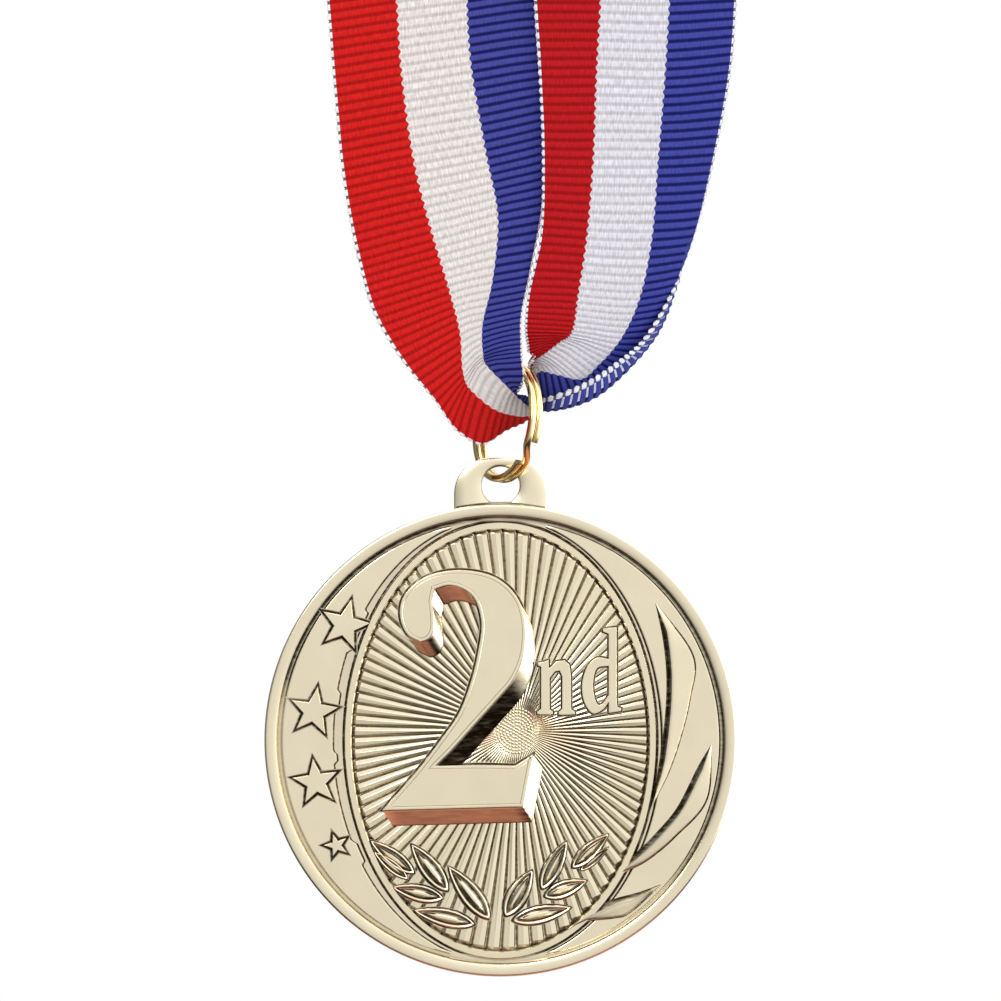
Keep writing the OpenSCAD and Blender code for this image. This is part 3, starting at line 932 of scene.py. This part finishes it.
def makeRing(r):
    pts = []
    for angle, side in ringPath(r):
        a = math.radians(angle)
        pts.append((r["meanRadius"] * math.cos(a), r["meanRadius"] * math.sin(a), side * r["turnOffset"]))
    me = bpy.data.meshes.new("ringPath")
    me.from_pydata(pts, [(i, i + 1) for i in range(len(pts) - 1)], [])
    obj = newObject("splitRing", me)
    applyNodes(obj, ringNodes(), {"High": r["wireHigh"], "Wide": r["wireWide"], "Corner": r["wireRound"],
                                  "Material": ringGold})
    moveMesh(obj.data, onRing)
    obj.data.shade_smooth()
    obj.data.set_sharp_from_angle(angle=math.radians(50))
    return obj


ringObject = makeRing(ring)
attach(ringObject, "ring")
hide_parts("split_ring")
print("ring made")


ribbon = dict(width=22.2, thick=0.40, ribPitch=1.0, ribHeight=0.085, edgeWave=0.09, lapLength=20.0,
              topMid=27.25, topUp=398.72, endStations=14, ringGap=0.05,
              ringTurn=36.0, clearSteps=60, softSteps=48)

# how far across each guide line runs, from the red edge to the blue one
guideAt = [0.0, 7.4, 14.8, 20.6, 22.2]
columnAt = [0, 0.32, 2.6, 5.0, 7.4, 9.9, 12.3, 14.8, 17.2, 19.2, 20.4, 21.2, 21.88, 22.2]

# the tails near the medal: right, depth and height of each guide about the disc's middle
leftNear = [
    [(-18.9, -3.0, 82.0), (-11.4, -2.8, 83.0), (-3.9, -2.2, 84.0), (1.9, -1.5, 84.8), (3.5, -1.3, 85.0)],
    [(-17.9, -3.1, 70.0), (-10.6, -3.0, 71.3), (-3.2, -2.3, 72.6), (2.6, -1.6, 73.6), (4.3, -1.4, 73.8)],
    [(-16.9, -3.2, 60.0), (-9.2, -3.2, 61.6), (-1.6, -2.4, 63.2), (3.5, -1.7, 64.4), (4.9, -1.4, 64.8)],
    [(-15.3, -3.4, 51.6), (-7.2, -3.5, 53.9), (-0.3, -2.7, 55.8), (3.4, -1.8, 56.7), (4.5, -1.5, 57.0)],
    [(-13.5, -3.8, 45.6), (-5.5, -4.0, 48.3), (-0.9, -3.1, 49.4), (2.2, -2.2, 50.1), (3.2, -1.8, 50.3)],
    [(-10.1, -4.3, 40.1), (-4.3, -4.5, 43.4), (-2.0, -3.8, 44.4), (1.2, -3.0, 45.2), (2.3, -2.6, 45.4)],
    [(-7.1, -4.4, 36.5), (-4.0, -4.5, 39.4), (-1.9, -4.2, 41.6), (1.2, -3.7, 42.5), (2.3, -3.4, 42.6)],
    [(-4.3, -4.3, 32.9), (-2.9, -4.3, 37.3), (-1.3, -4.2, 40.0), (1.5, -4.0, 40.3), (2.4, -3.9, 40.4)],
    [(-2.2, -3.9, 31.8), (-1.1, -3.8, 35.8), (0.3, -3.8, 38.4), (2.0, -3.6, 38.6), (2.6, -3.5, 38.6)],
    [(0.5, -2.6, 33.3), (1.0, -2.8, 35.0), (1.6, -2.8, 37.1), (2.4, -2.6, 37.4), (2.8, -2.6, 37.5)],
    [(3.2, -0.2, 35.0), (3.1, -1.2, 35.2), (3.0, -0.8, 36.2), (3.0, -1.6, 36.5), (3.0, -1.0, 36.8)]]
rightNear = [
    [(3.4, 0.9, 39.6), (3.5, 0.2, 39.9), (4.2, 0.0, 39.7), (4.8, -0.8, 35.6), (5.0, -2.0, 36.8)],
    [(3.1, 0.3, 40.3), (3.8, 0.3, 41.0), (6.0, 0.0, 39.4), (7.2, -0.6, 36.0), (7.6, -2.0, 37.7)],
    [(3.0, -0.6, 41.1), (4.9, 0.0, 41.8), (8.7, 0.0, 38.9), (10.2, -0.2, 37.4), (10.2, -1.8, 39.0)],
    [(2.9, -1.4, 42.3), (6.4, -0.6, 43.0), (10.6, 0.2, 40.5), (13.0, 0.4, 39.5), (12.5, -1.2, 40.6)],
    [(2.6, -2.2, 44.4), (7.7, -1.2, 44.1), (13.0, 0.2, 43.4), (16.6, 1.2, 43.5), (15.4, -0.2, 43.1)],
    [(2.9, -2.4, 48.0), (8.3, -1.6, 47.8), (14.9, -0.2, 47.5), (18.7, 1.2, 48.2), (18.4, 0.8, 48.0)],
    [(4.2, -2.4, 54.0), (9.2, -1.8, 53.8), (16.2, -0.5, 53.6), (20.2, 0.9, 54.1), (20.9, 1.2, 54.3)],
    [(4.5, -2.4, 62.0), (9.9, -1.9, 62.0), (16.9, -0.6, 62.0), (21.8, 1.0, 62.5), (23.1, 1.3, 62.6)],
    [(4.1, -2.4, 72.0), (10.3, -2.0, 72.0), (17.7, -0.7, 72.0), (23.4, 0.9, 72.6), (25.0, 1.3, 72.8)],
    [(3.5, -2.3, 82.0), (10.9, -1.9, 82.0), (18.3, -0.6, 82.0), (24.1, 0.8, 82.4), (25.7, 1.2, 82.5)]]

# the tails higher up, as they turn to face each other: middle x, middle y, height, turn
leftFar = [(-10.6, -1.9, 103, -3), (-12.6, -1.7, 122, -10), (-15.2, -1.4, 150, -24), (-18.9, -1.0, 200, -44),
           (-22.3, -0.7, 255, -64), (-25.2, -0.3, 315, -80), (-26.8, 0, 365, -88)]
rightFar = [(16.3, -0.3, 103, -3), (17.8, 0.1, 122, -10), (19.6, 0.4, 150, -24), (22.2, 0.6, 200, -44),
            (24.5, 0.4, 255, -64), (26.2, 0.2, 315, -80), (27.0, 0, 365, -88)]


def farStation(x, y, z, turn):
    a = math.radians(turn)
    return [(x + (g - 11.1) * math.cos(a), y + (g - 11.1) * math.sin(a), z) for g in guideAt]


def arcStation(degrees, radius, up):
    a = math.radians(degrees)
    return [(radius * math.cos(a), 11.1 - g, up + radius * math.sin(a)) for g in guideAt]


def ribbonStations(r):
    lap = math.degrees(r["lapLength"] / 2 / 27.0)
    up, mid = r["topUp"], r["topMid"]
    start = [arcStation(a, mid, up) for a in np.arange(90 - lap, 179, 8.0)]
    down = [farStation(*s) for s in reversed(leftFar)]
    rise = [farStation(*s) for s in rightFar]
    end = []
    for a in np.linspace(2.0, 90 + lap, r["endStations"]):
        lift = min(1, max(0, (a - 42) / (90 - lap - 46)))
        end.append(arcStation(a, mid + 0.5 * lift * lift * (3 - 2 * lift), up))
    return np.array(start + down + leftNear + rightNear + rise + end, float)


def slopes(values, at):
    d = np.diff(values, axis=0) / np.diff(at)[:, None]
    w = np.diff(at)
    inner = (d[:-1] * w[1:, None] + d[1:] * w[:-1, None]) / (w[1:] + w[:-1])[:, None]
    return np.concatenate([d[:1], inner, d[-1:]])


def hermite(values, at, where):
    m = slopes(values, at)
    k = np.clip(np.searchsorted(at, where, side="right") - 1, 0, len(at) - 2)
    h = (at[k + 1] - at[k])[:, None]
    f = ((where - at[k]) / (at[k + 1] - at[k]))[:, None]
    return ((1 + 2 * f) * (1 - f) ** 2 * values[k] + f * (1 - f) ** 2 * h * m[k]
            + f * f * (3 - 2 * f) * values[k + 1] + f * f * (f - 1) * h * m[k + 1])


def ribbonGrid(r):
    stations = ribbonStations(r)
    step = np.linalg.norm(np.diff(stations, axis=0), axis=2).max(axis=1)
    at = np.concatenate([[0], np.cumsum(step)])
    ribs = int(round(at[-1] / r["ribPitch"]))
    where = np.linspace(0, at[-1], ribs * 4 + 1)
    guides = np.stack([hermite(stations[:, g], at, where) for g in range(len(guideAt))], 1)
    phase = np.arange(len(where)) / 4.0
    columns = np.array(columnAt)
    spread = np.zeros((len(where), len(columns), 3))
    ga = np.array(guideAt)
    for i, row in enumerate(guides):
        spread[i] = hermite(row, ga, columns)
    through = len(stations) - len(rightFar) - len(rightNear) - r["endStations"]
    begin, curled, flat = at[through], at[through + 3], at[through + 6]
    rising = np.clip((where - at[through - 1]) / (begin - at[through - 1]), 0, 1)
    curl = np.clip((where - begin) / 1.0, 0, 1) * np.clip((flat - where) / (flat - curled), 0, 1)
    # deep: painted shade on the rows close to where the tails cross at the ring
    middle = (at[through - 1] + begin) / 2
    deep = np.exp(-((where - middle) / np.where(where < middle, 9.0, 4.0)) ** 2)
    return spread, phase, columns, at[-1], dict(rising=rising, curl=curl, deep=deep)


def roomForRing(base, r):
    axis = ringAxis
    along = (base - ringMid) @ axis
    flat = base - gatherAt - ((base - gatherAt) @ axis)[..., None] * axis
    down = ringMid - gatherAt - ((ringMid - gatherAt) @ axis) * axis
    side = np.cross(axis, down)
    spare = r["thick"] / 2 + r["ribHeight"] + r["ringGap"]
    high = ring["turnOffset"] + ring["wireHigh"] / 2 + spare
    low = ring["meanRadius"] - ring["wireWide"] / 2 - spare
    far = ring["meanRadius"] + ring["wireWide"] / 2 + spare
    push, most = np.zeros_like(base), np.zeros(base.shape[:2])
    for turn in np.radians(np.linspace(-r["ringTurn"], r["ringTurn"], 17)):
        out = flat - down * math.cos(turn) - side * math.sin(turn)
        reach = np.linalg.norm(out, axis=2)
        struck = (np.abs(along) < high) & (reach > low) & (reach < far)
        inward, sideways = reach - low, high - np.abs(along)
        slide = sideways < inward      # the shorter way out of the wire's path
        depth = np.where(struck, np.where(slide, sideways, inward), 0)
        way = np.where(slide[..., None], np.sign(along)[..., None] * axis, -out / reach[..., None])
        worse = depth > most
        push[worse] = (way * depth[..., None])[worse]
        most[worse] = depth[worse]
    return push, most.max()


def clearRing(base, r):
    for step in range(r["clearSteps"]):
        push, most = roomForRing(base, r)
        if most < 0.01:
            break
        rounds = 3 if step < r["softSteps"] else 0      # soft moves first, exact ones last
        for _ in range(rounds):
            push[1:-1] = (push[:-2] + 2 * push[1:-1] + push[2:]) / 4
            push[:, 1:-1] = (push[:, :-2] + 6 * push[:, 1:-1] + push[:, 2:]) / 8
        base = base + push
    print("ribbon clear of the ring after", step, "steps, left", round(float(most), 3))
    return base


def makeRibbon(r):
    base, phase, columns, length, marks = ribbonGrid(r)
    lifted = np.array([0, 0, discUp])
    base = clearRing(base + lifted, r) - lifted
    across = np.gradient(base, columns, axis=1)
    along = np.gradient(base, axis=0)
    slow = np.sin(0.9 + 0.055 * phase)[:, None]
    sway = 0.28 * np.sin(0.42 * columns[None, :] + 0.19 * phase[:, None]) * slow
    base = base + along * (sway * np.clip(np.abs(phase - phase[-1] / 2) / 12, 0, 1)[:, None])[:, :, None]
    normal = np.cross(across, along)
    normal /= np.maximum(np.linalg.norm(normal, axis=2), 1e-6)[:, :, None]
    across /= np.maximum(np.linalg.norm(across, axis=2), 1e-6)[:, :, None]
    wave = np.cos(2 * math.pi * phase)
    inset = np.minimum(columns, r["width"] - columns)
    body = r["thick"] / 2 * np.clip(0.55 + inset / 0.8, 0, 1)
    height = body[None, :] + r["ribHeight"] * wave[:, None]
    edge = np.where(inset < 0.01, 1.0, 0.0) * np.where(columns < 11, -1.0, 1.0)
    base = base + across * (edge[None, :] * (wave * r["edgeWave"])[:, None])[:, :, None]
    n, k = base.shape[:2]
    front = base + normal * height[:, :, None]
    back = base - normal * height[:, :, None]
    points = np.concatenate([front, back], axis=1)
    points[:, :, 2] += discUp
    ids = np.arange(n * 2 * k).reshape(n, 2 * k)
    loop = list(range(k)) + list(range(2 * k - 1, k - 1, -1))
    faces = []
    for c, d in zip(loop, loop[1:] + loop[:1]):
        a, b = ids[:-1, c], ids[1:, c]
        e, f = ids[:-1, d], ids[1:, d]
        faces.append(np.stack([a, e, f, b], 1))
    faces = np.concatenate(faces).tolist()
    faces.append([int(ids[0, c]) for c in reversed(loop)])
    faces.append([int(ids[-1, c]) for c in loop])
    me = bpy.data.meshes.new("ribbon")
    me.from_pydata((points.reshape(-1, 3) * mm).tolist(), [], faces)
    uv = me.uv_layers.new(name="weave")
    u = np.tile(np.concatenate([columns, columns]), n)
    v = np.repeat(phase, 2 * k)
    corner = np.zeros(len(me.loops), dtype=np.int32)
    me.loops.foreach_get("vertex_index", corner)
    uv.data.foreach_set("uv", np.stack([u[corner], v[corner]], 1).ravel())
    for name, values in marks.items():
        layer = me.attributes.new(name, "FLOAT", "POINT")
        layer.data.foreach_set("value", np.repeat(values, 2 * k))
    me.shade_smooth()
    me.set_sharp_from_angle(angle=math.radians(75))
    print("ribbon length", round(length, 1))
    return me


def ribbonMaterial():
    mat = bpy.data.materials.new("stripedGrosgrain")
    tree = nodeTree(mat)
    link = tree.links.new
    shader = addNode(tree, "ShaderNodeBsdfPrincipled")
    uv = addNode(tree, "ShaderNodeUVMap", uv_map="weave")
    split = addNode(tree, "ShaderNodeSeparateXYZ")
    link(uv.outputs[0], split.inputs[0])
    u, v = split.outputs[0], split.outputs[1]
    turn = mathNode(tree, "MULTIPLY", v, 2 * math.pi)
    wave = mathNode(tree, "COSINE", turn)

    def mixColour(factor, a, b):
        node = addNode(tree, "ShaderNodeMix", data_type="RGBA")
        link(factor, node.inputs["Factor"])
        for key, value in (("A", a), ("B", b)):
            if isinstance(value, tuple):
                node.inputs[key].default_value = (*value, 1)
            else:
                link(value, node.inputs[key])
        return node.outputs["Result"]

    # each stripe has a painted shaded tone in the rib valleys and a lit tone on the rib crests
    peak = addNode(tree, "ShaderNodeMapRange", interpolation_type="SMOOTHSTEP")
    peak.inputs["From Min"].default_value = -0.9
    peak.inputs["From Max"].default_value = 0.25
    link(wave, peak.inputs["Value"])
    crest = peak.outputs[0]

    # the stripes' borders bulge a little at each rib
    bulge = mathNode(tree, "MULTIPLY", wave, 0.12)
    redSide = mathNode(tree, "SUBTRACT", u, bulge)
    blueSide = mathNode(tree, "ADD", u, bulge)
    isWhite = mathNode(tree, "GREATER_THAN", redSide, 7.4)
    isBlue = mathNode(tree, "GREATER_THAN", blueSide, 14.8)
    tail = addNode(tree, "ShaderNodeAttribute", attribute_name="rising").outputs["Fac"]
    # the tail past the ring is painted a darker red here and a cooler cast further down: lit and shaded
    # copies of one ribbon
    red = mixColour(tail, mixColour(crest, (0.38, 0.002, 0.002), (0.60, 0.010, 0.008)),
                    mixColour(crest, (0.32, 0.001, 0.002), (0.50, 0.006, 0.009)))
    white = mixColour(crest, (0.58, 0.53, 0.52), (0.75, 0.71, 0.70))
    blue = mixColour(crest, (0.004, 0.005, 0.095), (0.052, 0.060, 0.30))
    body = mixColour(isBlue, mixColour(isWhite, red, white), blue)
    inset = mathNode(tree, "MINIMUM", u, mathNode(tree, "SUBTRACT", 22.2, u))
    isEdge = mathNode(tree, "LESS_THAN", inset, 0.32)
    dot = mathNode(tree, "GREATER_THAN", wave, -0.45)
    edge = mixColour(dot, (0.16, 0.12, 0.14), (0.86, 0.86, 0.87))
    colour = mixColour(isEdge, body, edge)

    # where the edge curls over, pale threads show between the ribs
    curl = addNode(tree, "ShaderNodeAttribute", attribute_name="curl")
    past = mathNode(tree, "GREATER_THAN", u, 20.75)
    nearEdge = mathNode(tree, "MULTIPLY", past, mathNode(tree, "LESS_THAN", u, 21.8))
    valley = mathNode(tree, "LESS_THAN", wave, -0.62)
    streak = mathNode(tree, "MULTIPLY", mathNode(tree, "MULTIPLY", nearEdge, valley), curl.outputs["Fac"])
    colour = mixColour(streak, colour, (0.62, 0.64, 0.78))
    # painted shade near the ring: rows close to where the tails cross are darkened towards a grey-brown
    deep = addNode(tree, "ShaderNodeAttribute", attribute_name="deep").outputs["Fac"]
    cast = mixColour(deep, mixColour(tail, (1.0, 0.97, 0.95), (0.92, 0.95, 1.03)), (0.42, 0.38, 0.37))
    toned = addNode(tree, "ShaderNodeVectorMath", operation="MULTIPLY")
    link(colour, toned.inputs[0])
    link(cast, toned.inputs[1])
    colour = toned.outputs[0]

    grain = addNode(tree, "ShaderNodeTexNoise", noise_dimensions="2D")
    grain.inputs["Scale"].default_value = 1.0
    grain.inputs["Detail"].default_value = 3.0
    stretch = addNode(tree, "ShaderNodeVectorMath", operation="MULTIPLY")
    stretch.inputs[1].default_value = (5.5, 1.1, 1)
    link(uv.outputs[0], stretch.inputs[0])
    link(stretch.outputs[0], grain.inputs["Vector"])
    spread = addNode(tree, "ShaderNodeMapRange")
    spread.inputs["From Min"].default_value = 0.3
    spread.inputs["From Max"].default_value = 0.7
    spread.inputs["To Min"].default_value = 0.80
    spread.inputs["To Max"].default_value = 1.14
    link(grain.outputs["Fac"], spread.inputs["Value"])
    tint = addNode(tree, "ShaderNodeVectorMath", operation="SCALE")
    link(colour, tint.inputs[0])
    link(spread.outputs[0], tint.inputs["Scale"])
    link(tint.outputs[0], shader.inputs["Base Color"])

    warp = mathNode(tree, "SINE", mathNode(tree, "MULTIPLY", u, 2 * math.pi * 3.2))
    height = mathNode(tree, "ADD", mathNode(tree, "MULTIPLY", warp, 0.5), grain.outputs["Fac"])
    bump = addNode(tree, "ShaderNodeBump")
    bump.inputs["Strength"].default_value = 0.35
    bump.inputs["Distance"].default_value = 0.00004
    link(height, bump.inputs["Height"])
    link(bump.outputs[0], shader.inputs["Normal"])
    shader.inputs["Roughness"].default_value = 0.7
    shader.inputs["Specular IOR Level"].default_value = 0.12
    out = addNode(tree, "ShaderNodeOutputMaterial")
    link(shader.outputs[0], out.inputs[0])
    return mat


ribbonObject = newObject("neckRibbon", makeRibbon(ribbon), ribbonMaterial())
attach(ribbonObject, "ribbon")
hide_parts("neck_ribbon")
print("ribbon made")


seam = dict(count=7, length=2.2, thread=0.30, pitch=2.886, rowAngle=15.2, lowRadius=27.0, highRadius=28.0)


def threadMaterial():
    mat = bpy.data.materials.new("whiteThread")
    tree = nodeTree(mat)
    shader = addNode(tree, "ShaderNodeBsdfPrincipled")
    coord = addNode(tree, "ShaderNodeTexCoord")
    ply = addNode(tree, "ShaderNodeTexWave", bands_direction="DIAGONAL")
    ply.inputs["Scale"].default_value = 1400.0
    ply.inputs["Distortion"].default_value = 1.0
    tree.links.new(coord.outputs["Object"], ply.inputs["Vector"])
    ramp = addNode(tree, "ShaderNodeValToRGB")
    ramp.color_ramp.elements[0].color = (0.55, 0.54, 0.52, 1)
    ramp.color_ramp.elements[1].color = (0.85, 0.84, 0.82, 1)
    tree.links.new(ply.outputs["Fac"], ramp.inputs[0])
    tree.links.new(ramp.outputs[0], shader.inputs["Base Color"])
    bump = addNode(tree, "ShaderNodeBump")
    bump.inputs["Strength"].default_value = 0.5
    bump.inputs["Distance"].default_value = 0.00003
    tree.links.new(ply.outputs["Fac"], bump.inputs["Height"])
    tree.links.new(bump.outputs[0], shader.inputs["Normal"])
    shader.inputs["Roughness"].default_value = 0.55
    out = addNode(tree, "ShaderNodeOutputMaterial")
    tree.links.new(shader.outputs[0], out.inputs[0])
    return mat


def stitchNodes():
    group, put, out = nodeGroup("stitches", [
        ("Count", "NodeSocketInt", 7), ("Pitch", "NodeSocketFloat", 3.0), ("Length", "NodeSocketFloat", 2.0),
        ("Thread", "NodeSocketFloat", 0.3), ("Material", "NodeSocketMaterial", None)])
    link = group.links.new
    get = put.outputs
    row = addNode(group, "GeometryNodeMeshLine")
    link(get["Count"], row.inputs["Count"])
    gap = addNode(group, "ShaderNodeCombineXYZ")
    link(get["Pitch"], gap.inputs[1])
    link(gap.outputs[0], row.inputs["Offset"])
    begin = addNode(group, "ShaderNodeCombineXYZ")
    less = mathNode(group, "SUBTRACT", get["Count"], 1.0)
    link(mathNode(group, "MULTIPLY", mathNode(group, "MULTIPLY", less, get["Pitch"]), -0.5), begin.inputs[1])
    link(begin.outputs[0], row.inputs["Start Location"])
    path = addNode(group, "GeometryNodeCurvePrimitiveBezierSegment")
    half = mathNode(group, "MULTIPLY", get["Length"], 0.5)
    for name, along, up in (("Start", -1.0, -0.10), ("Start Handle", -0.8, 0.06),
                            ("End Handle", 0.8, 0.06), ("End", 1.0, -0.10)):
        spot = addNode(group, "ShaderNodeCombineXYZ")
        link(mathNode(group, "MULTIPLY", half, along), spot.inputs[1])
        spot.inputs[2].default_value = up
        link(spot.outputs[0], path.inputs[name])
    circle = addNode(group, "GeometryNodeCurvePrimitiveCircle")
    circle.inputs["Resolution"].default_value = 12
    link(mathNode(group, "MULTIPLY", get["Thread"], 0.5), circle.inputs["Radius"])
    sweep = addNode(group, "GeometryNodeCurveToMesh")
    link(path.outputs[0], sweep.inputs["Curve"])
    link(circle.outputs[0], sweep.inputs["Profile Curve"])
    sweep.inputs["Fill Caps"].default_value = True
    one = addNode(group, "GeometryNodeInstanceOnPoints")
    link(row.outputs[0], one.inputs["Points"])
    link(sweep.outputs[0], one.inputs["Instance"])
    rowTurn = addNode(group, "GeometryNodeInputNamedAttribute", data_type="FLOAT_VECTOR")
    rowTurn.inputs["Name"].default_value = "turn"
    rows = addNode(group, "GeometryNodeInstanceOnPoints")
    link(get["Geometry"], rows.inputs["Points"])
    link(one.outputs[0], rows.inputs["Instance"])
    link(rowTurn.outputs["Attribute"], rows.inputs["Rotation"])
    real = addNode(group, "GeometryNodeRealizeInstances")
    link(rows.outputs[0], real.inputs[0])
    paint = addNode(group, "GeometryNodeSetMaterial")
    link(real.outputs[0], paint.inputs["Geometry"])
    link(get["Material"], paint.inputs["Material"])
    link(paint.outputs[0], out.inputs[0])
    return group


def makeStitches(s):
    pts, turns = [], []
    for side in (-1, 1):
        a = math.radians(side * s["rowAngle"])
        for radius, flip in ((s["lowRadius"], math.pi), (s["highRadius"], 0.0)):
            pts.append((radius * math.sin(a), 0, radius * math.cos(a)))
            turns += [0.0, a + flip, 0.0]
    me = bpy.data.meshes.new("stitchRows")
    me.from_pydata(pts, [], [])
    layer = me.attributes.new("turn", "FLOAT_VECTOR", "POINT")
    layer.data.foreach_set("vector", turns)
    obj = newObject("seamStitches", me)
    applyNodes(obj, stitchNodes(), {"Count": s["count"], "Pitch": s["pitch"], "Length": s["length"],
                                    "Thread": s["thread"], "Material": threadMaterial()})
    up = discUp + ribbon["topUp"]
    moveMesh(obj.data, lambda c: (c + np.array([0, 0, up])) * mm)
    obj.data.shade_smooth()
    obj.data.set_sharp_from_angle(angle=math.radians(60))
    return obj


stitches = makeStitches(seam)
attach(stitches, "ribbon")
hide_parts("seam_stitching")
print("stitches made")
